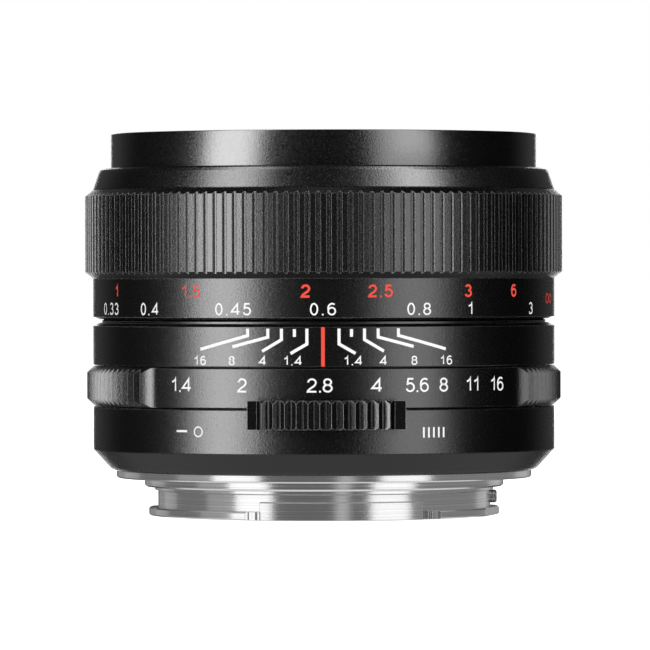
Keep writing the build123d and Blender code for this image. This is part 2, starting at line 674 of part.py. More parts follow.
def aperture_drive_fork():
    """Bent plate on the aperture ring whose slot drives the iris pin at every focus setting."""
    r0, r1 = FORK_R
    plate = sector(r0, r1, DRIVE_AZ - 4.0, DRIVE_AZ + 4.0, 11.3, 23.1)
    low = DRIVE_PIN_Z + FOCUS_FAR * FOCUS_LEAD / 360 - 0.8
    high = DRIVE_PIN_Z + FOCUS_NEAR * FOCUS_LEAD / 360 + 0.8
    plate -= box_at(DRIVE_AZ, r0 - 1, r1 + 1, 1.04, low, high)
    foot = sector(r0, 31.0, DRIVE_AZ - 4.0, DRIVE_AZ + 4.0, 11.3, 12.35)
    foot += sector(29.3, 31.0, DRIVE_AZ - 7.8, DRIVE_AZ + 7.8, 11.3, 12.35)
    for az in FORK_SCREW_AZ:
        foot -= rod(0.44, az, 30.2, 11, 13)
    return plate + foot


def fork_screws():
    """Two screws that hold the drive fork on the aperture ring."""
    screws = []
    for az in FORK_SCREW_AZ:
        screw = rod(0.40, az, 30.2, 11.2, 13.9) + rod(0.72, az, 30.2, 10.8, 11.3)
        x, y, _ = at(az, 30.2)
        screws.append(screw - Pos(x, y, 10.85) * Rot(0, 0, az) * Box(1.6, 0.2, 0.3))
    return Compound(screws)


# ---- click switch -------------------------------------------------------------------------------------
KNOB_AZ = (-17.5, 18.6)
NECK_AZ = (KNOB_AZ[0] + 9.0, KNOB_AZ[1] - 9.5)
KNOB_R = (33.10, 35.20)
KNOB_Z = (7.50, 11.50)
RIDGE_DEPTH = 0.74            # of the V ridges, which have sharp crests and narrow roots
RIDGE_PITCH = 2.65
RIDGE_COUNT = 12
RIDGE_MIDDLE = 0.4
KNOB_BEVELS = (0.35, 0.50)    # along the bottom and the top of the ridges
KNOB_END_Y = -33.55           # flat faces at both ends of the knob
SWITCH_RING_R = (29.20, 30.72)
SWITCH_RING_TOP = 6.75
RAMP_SLOPE = 9.75             # of the ramp that lets the click plunger drop
CLICK_R = 30.0
PLUNGER_R = 0.55


def knob_ridges():
    """Ridged middle of the switch knob, bevelled along its top and bottom."""
    root = KNOB_R[1] - RIDGE_DEPTH
    half = RIDGE_COUNT * RIDGE_PITCH / 2
    points = []
    for i in range(RIDGE_COUNT):
        start = RIDGE_MIDDLE - half + i * RIDGE_PITCH
        points += [at(start + RIDGE_PITCH * share, radius) for share, radius in
                   ((0.05, root), (0.5, KNOB_R[1]), (0.95, root))]
    points += [at(RIDGE_MIDDLE + half * share, KNOB_R[0] + 0.4) for share in (1, 0.6, 0.2, -0.2, -0.6, -1)]
    ridges = extrude(make_face(Polyline(*points, close=True)), amount=KNOB_Z[1] - KNOB_Z[0], dir=(0, 0, 1))
    low, high = KNOB_BEVELS
    return Pos(0, 0, KNOB_Z[0]) * ridges & turned(
        (20, KNOB_Z[0]), (KNOB_R[1] - low, KNOB_Z[0]), (KNOB_R[1] + 0.01, KNOB_Z[0] + low),
        (KNOB_R[1] + 0.01, KNOB_Z[1] - high), (KNOB_R[1] - high, KNOB_Z[1]), (20, KNOB_Z[1]))


def click_switch():
    """Sliding switch: a ring inside the housing and a ridged knob outside it, joined through the slot."""
    half = RIDGE_COUNT * RIDGE_PITCH / 2
    knob = sector(KNOB_R[0], KNOB_R[1] - RIDGE_DEPTH - 0.02, *KNOB_AZ, *KNOB_Z) + knob_ridges()
    for az0, az1 in ((KNOB_AZ[0], RIDGE_MIDDLE - half + 0.06), (RIDGE_MIDDLE + half - 0.06, KNOB_AZ[1])):
        end = sector(KNOB_R[0], KNOB_R[1] + 0.3, az0, az1, *KNOB_Z)
        end -= Pos(0, KNOB_END_Y - 5, 0) * Box(60, 10, 60)
        knob += end
    knob -= tube(20, 34.0, APERTURE_Z[0] - 0.14, 14)
    neck = sector(SWITCH_RING_R[0] + 0.6, 33.6, *NECK_AZ, *SWITCH_Z)
    post = sector(*SWITCH_RING_R, *NECK_AZ, 5.1, SWITCH_Z[1])
    ring = tube(*SWITCH_RING_R, 5.0, SWITCH_RING_TOP)
    ramp = Rot(0, 0, CLICK_AZ + 5 - 90) * Pos(30, 0, SWITCH_RING_TOP - 0.40) * Rot(-RAMP_SLOPE, 0, 0)
    ring -= ramp * Pos(0, -1.8, 2) * Box(6, 8.4, 4)
    return ring + post + neck + knob


def click_holder():
    """Block on the fixed barrel that guides the click plunger."""
    block = sector(BARREL_R[1] + 0.01, 30.75, CLICK_AZ - 4.5, CLICK_AZ + 4.5, 7.6, 9.9)
    x, y, _ = at(CLICK_AZ, CLICK_R)
    block -= Pos(x, y, 8.8) * Cylinder(PLUNGER_R + FIT, 4)
    return block


def click_plunger():
    """Round-nosed steel plunger that drops into the dimples of the aperture ring."""
    x, y, _ = at(CLICK_AZ, CLICK_R)
    top = APERTURE_Z[0] - 0.03
    foot = Line((0, 0, 6.92), (PLUNGER_R - 0.1, 0, 6.92))
    bevel = Line((PLUNGER_R - 0.1, 0, 6.92), (PLUNGER_R, 0, 7.02))
    side = Line((PLUNGER_R, 0, 7.02), (PLUNGER_R, 0, top - PLUNGER_R))
    half = PLUNGER_R * sin(pi / 4)
    nose = ThreePointArc((PLUNGER_R, 0, top - PLUNGER_R), (half, 0, top - PLUNGER_R + half), (0, 0, top))
    axis = Line((0, 0, top), (0, 0, 6.92))
    return Pos(x, y, 0) * revolve(make_face([foot, bevel, side, nose, axis]), Axis.Z)


def click_leaf_spring():
    """Leaf spring on the switch ring that presses the plunger up while the switch is at its click end."""
    z0 = SWITCH_RING_TOP + 0.01
    return sector(29.40, 30.50, CLICK_AZ - 11.0, CLICK_AZ - 0.4, z0, z0 + 0.08)


# ---- build --------------------------------------------------------------------------------------------
PARTS = [mount_flange, mount_screws, bayonet_stop_screw, flange_shim, rear_baffle, rear_housing, main_barrel,
         barrel_screws, straight_keys, key_screws, dof_ring, dof_set_screws, click_holder, click_leaf_spring,
         focus_ring, focus_ring_screws, front_bezel, helicoid_ring, helicoid_retainer,
         inner_barrel, front_collar, name_ring, front_cell, front_retainer, second_retainer, front_element,
         second_element, third_element, fourth_element, third_element_seat, iris_base, iris_cover, rear_cell,
         fifth_element, sixth_element, seventh_element, rear_element, rear_spacer, last_spacer,
         rear_retainer, iris_cam_ring, iris_drive_pin, aperture_ring, aperture_drive_fork, fork_screws,
         click_switch, click_plunger]

os.makedirs("parts", exist_ok=True)
for build in PARTS:
    export_step(build(), f"parts/{build.__name__}.step")
for index in range(BLADE_COUNT):
    export_step(blade(index), f"parts/iris_blade_{index + 1}.step")
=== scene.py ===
"""Looks of a manual-focus prime lens: finishes, scales, thread, glass, light and camera."""
import json
import math
import bpy
from mathutils import Matrix, Vector

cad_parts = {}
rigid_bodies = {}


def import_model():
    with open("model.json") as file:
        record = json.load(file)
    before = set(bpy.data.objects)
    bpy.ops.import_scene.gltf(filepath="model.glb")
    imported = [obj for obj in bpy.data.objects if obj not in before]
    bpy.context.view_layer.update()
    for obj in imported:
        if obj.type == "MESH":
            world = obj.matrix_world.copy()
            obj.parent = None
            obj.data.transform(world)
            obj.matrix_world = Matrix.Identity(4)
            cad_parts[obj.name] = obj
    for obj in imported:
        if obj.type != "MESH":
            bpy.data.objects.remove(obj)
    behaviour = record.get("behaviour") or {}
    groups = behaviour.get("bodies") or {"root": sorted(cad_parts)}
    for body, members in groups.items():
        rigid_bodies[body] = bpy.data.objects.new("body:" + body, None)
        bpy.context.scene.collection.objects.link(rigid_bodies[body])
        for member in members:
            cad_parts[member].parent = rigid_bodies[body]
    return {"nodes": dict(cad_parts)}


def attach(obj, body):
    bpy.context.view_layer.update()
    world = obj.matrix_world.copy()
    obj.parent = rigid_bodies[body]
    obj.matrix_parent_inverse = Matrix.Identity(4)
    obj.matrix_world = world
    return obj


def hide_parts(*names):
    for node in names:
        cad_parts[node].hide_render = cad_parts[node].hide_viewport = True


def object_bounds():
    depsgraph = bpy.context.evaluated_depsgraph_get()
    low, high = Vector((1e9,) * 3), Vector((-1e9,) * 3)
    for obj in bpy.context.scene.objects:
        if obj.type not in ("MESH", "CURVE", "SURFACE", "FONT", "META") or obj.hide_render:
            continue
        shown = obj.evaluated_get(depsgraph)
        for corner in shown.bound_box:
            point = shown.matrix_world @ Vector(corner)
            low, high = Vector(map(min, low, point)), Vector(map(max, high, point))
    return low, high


for old in list(bpy.data.objects):
    bpy.data.objects.remove(old, do_unlink=True)
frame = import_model()
CAD_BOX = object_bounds()
NODES = frame["nodes"]
MM = 0.001

# Radii in mm, as in the CAD.
BODY_R = 32.92        # distance skirt, depth-of-field ring and rear housing
APERTURE_R = 32.75    # aperture ring between its tabs
COLLAR_R = 30.35      # front collar, outside
FILTER_R = 28.60      # crest of the filter thread


# ---- node helpers ----------------------------------------------------------------------------
class Look:
    """A small builder for one procedural material."""

    def __init__(self, name):
        self.mat = bpy.data.materials.new(name)
        self.mat.use_nodes = True
        self.tree = self.mat.node_tree
        self.tree.nodes.clear()
        self.out = self.tree.nodes.new("ShaderNodeOutputMaterial")
        self.shader = self.tree.nodes.new("ShaderNodeBsdfPrincipled")
        self.link(self.shader, "BSDF", self.out, "Surface")
        self.coords = self.tree.nodes.new("ShaderNodeTexCoord")

    def link(self, a, output, b, socket):
        self.tree.links.new(a.outputs[output], b.inputs[socket])

    def set(self, **values):
        for key, value in values.items():
            self.shader.inputs[key.replace("_", " ")].default_value = value

    def node(self, kind, **settings):
        made = self.tree.nodes.new(kind)
        for key, value in settings.items():
            setattr(made, key, value)
        return made

    def noise(self, scale, detail, rough, source=None):
        """Noise in the object's own coordinates, or in those of a source; scale is in cells per
        metre."""
        coords, output = source or (self.coords, "Object")
        made = self.node("ShaderNodeTexNoise")
        made.inputs["Scale"].default_value = scale
        made.inputs["Detail"].default_value = detail
        made.inputs["Roughness"].default_value = rough
        self.link(coords, output, made, "Vector")
        return made

    def ring_coords(self):
        """Coordinates (radius, 0, height), so that a texture on them runs round the axis like
        turning marks."""
        split = self.node("ShaderNodeSeparateXYZ")
        self.link(self.coords, "Object", split, "Vector")
        flat = self.node("ShaderNodeCombineXYZ")
        self.link(split, "X", flat, "X")
        self.link(split, "Y", flat, "Y")
        length = self.node("ShaderNodeVectorMath", operation="LENGTH")
        self.link(flat, "Vector", length, 0)
        out = self.node("ShaderNodeCombineXYZ")
        self.link(length, "Value", out, "X")
        self.link(split, "Z", out, "Z")
        return (out, "Vector")

    def remap(self, source, low, high, out_low, out_high, output="Fac"):
        made = self.node("ShaderNodeMapRange")
        made.inputs["From Min"].default_value = low
        made.inputs["From Max"].default_value = high
        made.inputs["To Min"].default_value = out_low
        made.inputs["To Max"].default_value = out_high
        self.link(source, output, made, "Value")
        return made

    def colour(self, noise, stops):
        """Base colour from a noise, by (position, colour) stops."""
        ramp = self.node("ShaderNodeValToRGB")
        for element, (position, value) in zip(ramp.color_ramp.elements, stops):
            element.position = position
            element.color = (*value, 1)
        self.link(noise, "Fac", ramp, "Fac")
        self.link(ramp, "Color", self.shader, "Base Color")

    def rough(self, noise, low, high):
        """Roughness from a noise, over the middle of its range."""
        made = self.remap(noise, 0.3, 0.7, low, high)
        self.link(made, "Result", self.shader, "Roughness")

    def bumps(self, *layers, edge=0.0):
        """Chain of bump layers, each (noise, strength, depth in metres), over edges broken to a
        radius in mm, as deburring and tumbling leave them."""
        last = None
        if edge:
            last = self.node("ShaderNodeBevel", samples=6)
            last.inputs["Radius"].default_value = edge * MM
        for noise, strength, depth in layers:
            bump = self.node("ShaderNodeBump")
            bump.inputs["Strength"].default_value = strength
            bump.inputs["Distance"].default_value = depth
            self.link(noise, "Fac", bump, "Height")
            if last is not None:
                self.link(last, "Normal", bump, "Normal")
            last = bump
        self.link(last, "Normal", self.shader, "Normal")

    def paint_edge_highlights(self, radius, colour):
        """Painted highlight on edges: wherever rounding them to a radius in mm turns the surface
        away from its face, a pale matt colour is mixed in where the light would catch them."""
        bevel = self.node("ShaderNodeBevel", samples=8)
        bevel.inputs["Radius"].default_value = radius * MM
        face = self.node("ShaderNodeNewGeometry")
        turn = self.node("ShaderNodeVectorMath", operation="DOT_PRODUCT")
        self.link(bevel, "Normal", turn, 0)
        self.link(face, "True Normal", turn, 1)
        edge = self.remap(turn, 0.985, 0.85, 0.0, 0.8, "Value")
        # painted highlight: a pale diffuse mixed in along the edges
        edge_highlight_paint = self.node("ShaderNodeBsdfDiffuse")
        edge_highlight_paint.inputs["Color"].default_value = (*colour, 1)
        mix = self.node("ShaderNodeMixShader")
        self.link(edge, "Result", mix, 0)
        self.link(self.shader, "BSDF", mix, 1)
        self.link(edge_highlight_paint, "BSDF", mix, 2)
        self.link(mix, "Shader", self.out, "Surface")


# ---- finishes --------------------------------------------------------------------------------
ANODISED_IOR = 1.77     # hard oxide on aluminium
GLASS_IOR = 1.62
FILM_IOR = 1.38         # magnesium fluoride coating

# Cells per metre, and depths in metres.
GRIT_CELLS = 4400       # blasted grain
GRIT_DEPTH = 0.00006
MATT_DEPTH = 0.00004    # sprayed matt paint
GRAIN_DEPTH = 0.00002   # small metal parts and filled figures
LINE_DEPTH = 0.00001    # turning lines, and the finest grain


def grey(value):
    return (value, value, value)


def black_turned(name, base, low, high, lines, grain, ior=ANODISED_IOR):
    """Black anodised aluminium with fine turning lines round the axis. low and high are the
    roughness, here and below, and lines and grain are bump strengths."""
    look = Look(name)
    ring = look.ring_coords()
    fine = look.noise(9000, 3, 0.7, source=ring)
    grit = look.noise(GRIT_CELLS, 2, 0.65)
    look.colour(grit, [(0.35, grey(base)), (0.75, grey(base * 1.7))])
    look.rough(grit, low, high)
    look.bumps((fine, lines, LINE_DEPTH), (grit, grain, GRIT_DEPTH))
    look.set(IOR=ior)
    return look.mat


def black_blasted(name, base, low, high, grain, edge=0.0, edge_highlight_grey=0.0):
    """Black anodised aluminium, bead blasted: an even grain with no direction. Edges broken to a
    radius in mm get a grey painted highlight."""
    look = Look(name)
    grit = look.noise(GRIT_CELLS, 2, 0.65)
    fine = look.noise(GRIT_CELLS * 2.7, 1, 0.5)
    look.colour(grit, [(0.35, grey(base)), (0.8, grey(base * 2.0))])
    look.rough(grit, low, high)
    look.bumps((grit, grain, GRIT_DEPTH), (fine, grain * 0.6, LINE_DEPTH), edge=edge)
    look.set(IOR=ANODISED_IOR)
    if edge:
        # painted highlight: pale grey along the broken edges
        look.paint_edge_highlights(edge, grey(edge_highlight_grey))
    return look.mat


def turned_metal(name, dark, light, low, high, aniso, lines, edge=0.0):
    """Bright metal with circumferential turning marks."""
    look = Look(name)
    ring = look.ring_coords()
    fine = look.noise(7000, 4, 0.7, source=ring)
    look.colour(fine, [(0.35, dark), (0.65, light)])
    look.rough(fine, low, high)
    look.bumps((fine, lines, LINE_DEPTH), edge=edge)
    # painted highlight: the light metal colour along the broken edges
    if edge:
        look.paint_edge_highlights(edge, light)
    look.set(Metallic=1.0, Anisotropic=aniso)
    tangent = look.node("ShaderNodeTangent", direction_type="RADIAL", axis="Z")
    look.link(tangent, "Tangent", look.shader, "Tangent")
    return look.mat


def plain_metal(name, dark, light, low, high):
    """Metal of small parts: screws, springs, pins and blades."""
    look = Look(name)
    grain = look.noise(6000, 3, 0.6)
    look.colour(grain, [(0.3, dark), (0.7, light)])
    look.rough(grain, low, high)
    look.bumps((grain, 0.25, GRAIN_DEPTH))
    look.set(Metallic=1.0)
    return look.mat


def matt_black(name):
    """Matt black paint inside the barrel."""
    look = Look(name)
    grain = look.noise(9000, 3, 0.6)
    look.colour(grain, [(0.3, grey(0.006)), (0.7, grey(0.0108))])
    look.rough(grain, 0.67, 0.83)
    look.bumps((grain, 0.4, MATT_DEPTH))
    look.set(Specular_IOR_Level=0.3)
    return look.mat


def coated_glass(name, film, tint):
    """Polished optical glass with an interference coating, film in nanometres."""
    look = Look(name)
    dust = look.noise(2500, 2, 0.5)
    look.rough(dust, 0.0, 0.012)
    look.set(Base_Color=(*tint, 1), Transmission_Weight=1.0, IOR=GLASS_IOR,
             Thin_Film_Thickness=film, Thin_Film_IOR=FILM_IOR)
    return look.mat


def paint(name, colour):
    """Paint in the engraved figures."""
    look = Look(name)
    grain = look.noise(5000, 3, 0.6)
    deep = tuple(c * 0.90 for c in colour)
    look.colour(grain, [(0.3, deep), (0.65, colour)])
    look.rough(grain, 0.40, 0.53)
    look.bumps((grain, 0.2, GRAIN_DEPTH))
    look.set(Specular_IOR_Level=0.35)
    return look.mat


MAT = {
    "collar": black_turned("collar_black", base=0.002, low=0.15, high=0.275, lines=0.6,
                           grain=0.26, ior=2.05),
    "bezel": black_blasted("bezel_black", base=0.002, low=0.165, high=0.295, grain=0.34),
    # Where edge is given, a grey painted highlight lies along the broken edges; the mount's is its
    # light colour.
    "grip": black_blasted("grip_black", base=0.0015, low=0.23, high=0.29, grain=0.40,
                          edge=0.06, edge_highlight_grey=0.52),
    "ring": black_blasted("ring_black", base=0.0015, low=0.23, high=0.28, grain=0.45,
                          edge=0.06, edge_highlight_grey=0.28),
    "switch": black_blasted("switch_black", base=0.0015, low=0.22, high=0.28, grain=0.25,
                            edge=0.07, edge_highlight_grey=0.55),
    "name": black_turned("name_ring_black", base=0.003, low=0.35, high=0.45, lines=1.0,
                         grain=0.2),
    "inside": matt_black("inside_black"),
    "mount": turned_metal("mount_chrome", grey(0.56), grey(0.80), low=0.07, high=0.19,
                          aniso=0.5, lines=0.6, edge=0.10),
    "brass": turned_metal("turned_brass", (0.50, 0.36, 0.15), (0.66, 0.50, 0.24), low=0.22,
                          high=0.36, aniso=0.4, lines=0.5),
    "barrel": turned_metal("barrel_dark", grey(0.03), grey(0.06), low=0.35, high=0.5,
                           aniso=0.3, lines=0.5),
    "screw": plain_metal("screw_steel", (0.52, 0.52, 0.51), (0.68, 0.68, 0.67), low=0.18,
                         high=0.32),
    "black_screw": plain_metal("screw_black", grey(0.02), grey(0.04), low=0.35, high=0.5),
    "spring": plain_metal("spring_steel", grey(0.36), (0.50, 0.50, 0.49), low=0.22, high=0.38),
    "blade": plain_metal("blade_blued", (0.12, 0.125, 0.14), (0.19, 0.195, 0.21), low=0.32,
                         high=0.46),
    "white": paint("paint_white", (0.80, 0.80, 0.795)),
    "red": paint("paint_red", (0.72, 0.045, 0.020)),
    "glass_front": coated_glass("glass_front", 420, (0.97, 0.99, 0.98)),
    "glass_inner": coated_glass("glass_inner", 330, (0.98, 0.99, 0.99)),
    "glass_rear": coated_glass("glass_rear", 510, (0.99, 0.98, 0.97)),
}
NODE_LOOK = {
    "collar": ["front_collar"],
    "bezel": ["front_bezel"],
    "grip": ["focus_ring"],
    "ring": ["rear_housing", "dof_ring", "aperture_ring"],
    "switch": ["click_switch"],
    "name": ["name_ring", "front_retainer", "rear_retainer"],
    "inside": ["rear_baffle", "front_cell", "rear_cell", "second_retainer",
               "third_element_seat", "rear_spacer", "last_spacer", "iris_base", "iris_cover",
               "click_holder"],
    "mount": ["mount_flange"],
    "brass": ["flange_shim", "helicoid_ring", "helicoid_retainer", "straight_keys"],
    "barrel": ["main_barrel", "inner_barrel", "iris_cam_ring"],
    "screw": ["mount_screws", "bayonet_stop_screw", "barrel_screws", "fork_screws",
              "click_plunger", "iris_drive_pin"],
    "black_screw": ["key_screws", "dof_set_screws", "focus_ring_screws"],
    "spring": ["aperture_drive_fork", "click_leaf_spring"],
    "blade": [n for n in NODES if n.startswith("iris_blade_")],
    "glass_front": ["front_element"],
    "glass_inner": ["second_element", "third_element", "fourth_element", "fifth_element",
                    "sixth_element"],
    "glass_rear": ["seventh_element", "rear_element"],
}
for key, names in NODE_LOOK.items():
    for node_name in names:
        for material_slot in NODES[node_name].material_slots:
            material_slot.material = MAT[key]


# ---- mesh helpers ----------------------------------------------------------------------------
def add_mesh(name, verts, faces, material, body):
    """One piece that rides on a body."""
    mesh = bpy.data.meshes.new(name)
    mesh.from_pydata(verts, [], faces)
    mesh.update()
    obj = bpy.data.objects.new(name, mesh)
    bpy.context.scene.collection.objects.link(obj)
    obj.data.materials.append(material)
    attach(obj, body)
    return obj


def on_barrel(azimuth, radius, z):
    """Point in metres at an azimuth from -Y towards +X, in degrees, and a radius and height in
    mm."""
    a = math.radians(azimuth)
    return (radius * math.sin(a) * MM, -radius * math.cos(a) * MM, z * MM)


def arc(cx, cy, rx, ry, start, end, count=16):
    """Points on an ellipse from one angle to another, in degrees."""
    points = []
    for i in range(count + 1):
        t = math.radians(start + (end - start) * i / count)
        points.append((cx + rx * math.cos(t), cy + ry * math.sin(t)))
    return points


def ring_path(cx, cy, rx, ry):
    """Closed ellipse of 24 points."""
    return (True, arc(cx, cy, rx, ry, 90, 435, 23))


# Plain figures as centre lines in a box one high: (width, [(closed, points), ...]).
GLYPHS = {
    "0": (0.66, [ring_path(0.33, 0.5, 0.31, 0.5)]),
    "1": (0.58, [(False, [(0.03, 0.74), (0.20, 0.80), (0.34, 0.90), (0.39, 1.0), (0.39, 0.0)])]),
    "2": (0.72, [(False, arc(0.35, 0.72, 0.31, 0.28, 175, -28)
                  + [(0.52, 0.45), (0.24, 0.26), (0.05, 0.10), (0.01, 0.0), (0.70, 0.0)])]),
    "3": (0.68, [(False, arc(0.32, 0.755, 0.28, 0.245, 160, -90)),
                 (False, arc(0.32, 0.265, 0.34, 0.265, 90, -162))]),
    "4": (0.80, [(False, [(0.60, 0.0), (0.60, 0.98), (0.0, 0.26), (0.80, 0.26)])]),
    "5": (0.68, [(False, [(0.60, 1.0), (0.16, 1.0), (0.07, 0.50)]),
                 (False, arc(0.32, 0.325, 0.34, 0.325, 142, -160))]),
    "6": (0.68, [ring_path(0.35, 0.32, 0.32, 0.32),
                 (False, arc(0.38, 0.58, 0.36, 0.42, 52, 180) + [(0.03, 0.34)])]),
    "8": (0.68, [ring_path(0.34, 0.765, 0.28, 0.235), ring_path(0.34, 0.27, 0.33, 0.27)]),
    ".": (0.14, [(False, [(0.0, 0.0), (0.14, 0.0)])]),
}

MARKS_TURN = -0.2       # degrees, all the figures together
MARKS_PROUD = 0.02      # mm, how far the paint stands off its ring
MARKS_STEP = 0.6        # mm, longest face along a stroke, so that it follows the ring
LOOP_SIDES = 48


class Marks:
    """Painted figures and lines wrapped round a ring, gathered into one piece. Azimuths are in
    degrees, other sizes in mm."""
    pieces = []

    def __init__(self, radius):
        self.radius = radius + MARKS_PROUD
        self.verts = []
        self.faces = []

    def point(self, x, z):
        """Point at a distance x round the ring."""
        return on_barrel(MARKS_TURN + math.degrees(x / self.radius), self.radius, z)

    def text(self, words, azimuth, z, height, line, gap):
        """Figures centred at an azimuth and a height on the ring. line and gap are shares of the
        figures' height."""
        width = line * height
        tall = height - width
        advance = []
        x = 0.0
        for letter in words:
            advance.append(x)
            x += GLYPHS[letter][0] * tall + width + gap * height
        total = x - gap * height
        for letter, start in zip(words, advance):
            for closed, path in GLYPHS[letter][1]:
                placed = []
                for px, py in path:
                    dx = start + width / 2 + px * tall - total / 2
                    dy = width / 2 + py * tall - height / 2
                    placed.append((azimuth + math.degrees(dx / self.radius), z + dy))
                self.stroke(placed, width, closed)

    def stroke(self, path, width, closed=False):
        """Ribbon along (azimuth, z) points with mitred corners."""
        pts = [Vector((math.radians(a) * self.radius, z)) for a, z in path]
        count = len(pts)
        left, right = [], []
        for i, p in enumerate(pts):
            before = pts[i - 1] if i > 0 or closed else None
            after = pts[(i + 1) % count] if i < count - 1 or closed else None
            d0 = (p - before).normalized() if before is not None else (after - p).normalized()
            d1 = (after - p).normalized() if after is not None else d0
            n0 = Vector((-d0.y, d0.x))
            n1 = Vector((-d1.y, d1.x))
            n = (n0 + n1).normalized()
            reach = width / 2 / max(0.35, n.dot(n1))
            left.append(p + n * reach)
            right.append(p - n * reach)
        pairs = list(zip(left, right))
        if closed:
            pairs.append(pairs[0])
        for (l0, r0), (l1, r1) in zip(pairs, pairs[1:]):
            steps = max(1, int((l1 - l0).length / MARKS_STEP))
            for s in range(steps):
                start = len(self.verts)
                for a, b, t in ((l0, l1, s), (r0, r1, s), (r0, r1, s + 1), (l0, l1, s + 1)):
                    q = a.lerp(b, t / steps)
                    self.verts.append(self.point(q.x, q.y))
                self.faces.append((start, start + 1, start + 2, start + 3))

    def loop(self, azimuth, z, width, height, line, waist=False):
        """Outline of a ring, or of a lying figure eight (a lemniscate) with waist=True."""
        path = []
        for i in range(LOOP_SIDES):
            t = 2 * math.pi * i / LOOP_SIDES
            if waist:
                k = 1 / (1 + math.sin(t) ** 2)
                x = width / 2 * math.cos(t) * k
                y = height * 1.41 * math.sin(t) * math.cos(t) * k
            else:
                x = width / 2 * math.cos(t)
                y = height / 2 * math.sin(t)
            path.append((azimuth + math.degrees(x / self.radius), z + y))
        self.stroke(path, line, closed=True)

    def make(self, name, material, body):
        marks = add_mesh(name, self.verts, self.faces, material, body)
        marks.visible_glossy = False        # no stray red in the chamfers beside the figures
        Marks.pieces.append(marks)


# ---- scales ----------------------------------------------------------------------------------
# Figures as (text, azimuth), the feet with (..., height, line) too. Each _Z is the height of a row
# of figures above the flange, in mm.
FEET_Z = 26.6
FEET = (("1", -61.5, 1.75, 0.17), ("1.5", -33.8, 1.72, 0.13), ("2", -4.1, 1.86, 0.18),
        ("2.5", 14.0, 1.78, 0.16), ("3", 37.7, 1.82, 0.17), ("6", 53.9, 1.82, 0.17))
METRES_Z = 24.1
METRES = (("0.33", -65.3), ("0.4", -47.3), ("0.45", -22.2), ("0.6", 0.0), ("0.8", 23.8),
          ("1", 38.5), ("3", 62.1))
DEPTH_Z = 17.0
DEPTH = (("16", 31.15), ("8", 22.5), ("4", 14.65), ("1.4", 7.25))
STOPS_Z = 13.6
STOPS = (("1.4", -37.0), ("2", -19.9), ("2.8", -0.8), ("4", 13.1), ("5.6", 23.4), ("8", 30.6),
         ("11", 39.4), ("16", 47.6))

feet = Marks(BODY_R)
for words, azimuth, height, line in FEET:
    feet.text(words, azimuth, FEET_Z, height, line, gap=0.12)
feet.loop(75.2, 25.45, width=3.2, height=1.25, line=0.20, waist=True)   # for both scales
feet.make("scale_feet", MAT["red"], "focus_ring")
metres = Marks(BODY_R)
for words, azimuth in METRES:
    metres.text(words, azimuth, METRES_Z, height=1.72, line=0.125, gap=0.225)
metres.make("scale_metres", MAT["white"], "focus_ring")

# Depth-of-field fan: each line drops from the ring's top edge to a knee, then slants out to its
# figure. The short mark on each side has no figure.
FAN_TOP = 21.42
FAN_LINE = 0.42
SHORT_AZIMUTH = 6.85
FAN = ((18.4, 20.45, 31.0, 18.55), (13.35, 20.24, 22.3, 18.92), (10.0, 19.9, 14.75, 18.3),
       (3.85, 19.3, 7.8, 18.0))
dof = Marks(BODY_R)
for side in (-1, 1):
    for azimuth, knee_z, end_azimuth, end_z in FAN:
        dof.stroke([(side * azimuth, FAN_TOP), (side * azimuth, knee_z),
                    (side * end_azimuth, end_z)], FAN_LINE)
    dof.stroke([(side * SHORT_AZIMUTH, 21.35), (side * SHORT_AZIMUTH, 20.29)], FAN_LINE)
    for words, azimuth in DEPTH:
        dof.text(words, side * azimuth, DEPTH_Z, height=1.28, line=0.14, gap=0.15)
dof.make("scale_depth_of_field", MAT["white"], "barrel")
index = Marks(BODY_R)
index.stroke([(0, 21.62), (0, 16.2)], width=0.50)
index.make("index_line", MAT["red"], "barrel")

stops = Marks(APERTURE_R)
for words, azimuth in STOPS:
    stops.text(words, azimuth, STOPS_Z, height=1.96, line=0.125, gap=0.055)
stops.make("scale_stops", MAT["white"], "aperture_ring")

# Beside the click switch: a dash and a ring on one side, five ticks on the other.
TICKS_AZIMUTH = 27.65
TICKS_PITCH = 1.35
switch_marks = Marks(BODY_R)
switch_marks.stroke([(-38.15, 7.2), (-34.95, 7.2)], width=0.29)
switch_marks.loop(-31.7, 7.13, width=1.30, height=1.33, line=0.17)
for i in range(5):
    azimuth = TICKS_AZIMUTH + (i - 2) * TICKS_PITCH
    switch_marks.stroke([(azimuth, 6.32), (azimuth, 7.76)], width=0.26)
switch_marks.make("switch_marks", MAT["white"], "barrel")


# ---- filter collar with its thread -----------------------------------------------------------
COLLAR_FOOT = 40.60     # heights in mm
THREAD_END = 45.72
THREAD_START = 48.70
COLLAR_RIM = 48.90
MOUTH_R = 29.02         # the thread runs out into a chamfer of this radius
THREAD_PITCH = 0.75
THREAD_DEPTH = 0.40
THREAD_ROW = 0.05       # spacing of the rows of points down the thread
THREAD_FADE = 0.5       # height over which the groove starts, at its inner end
MOUTH_HEIGHT = 0.35     # height of the chamfer in the mouth
COLLAR_SIDES = 288


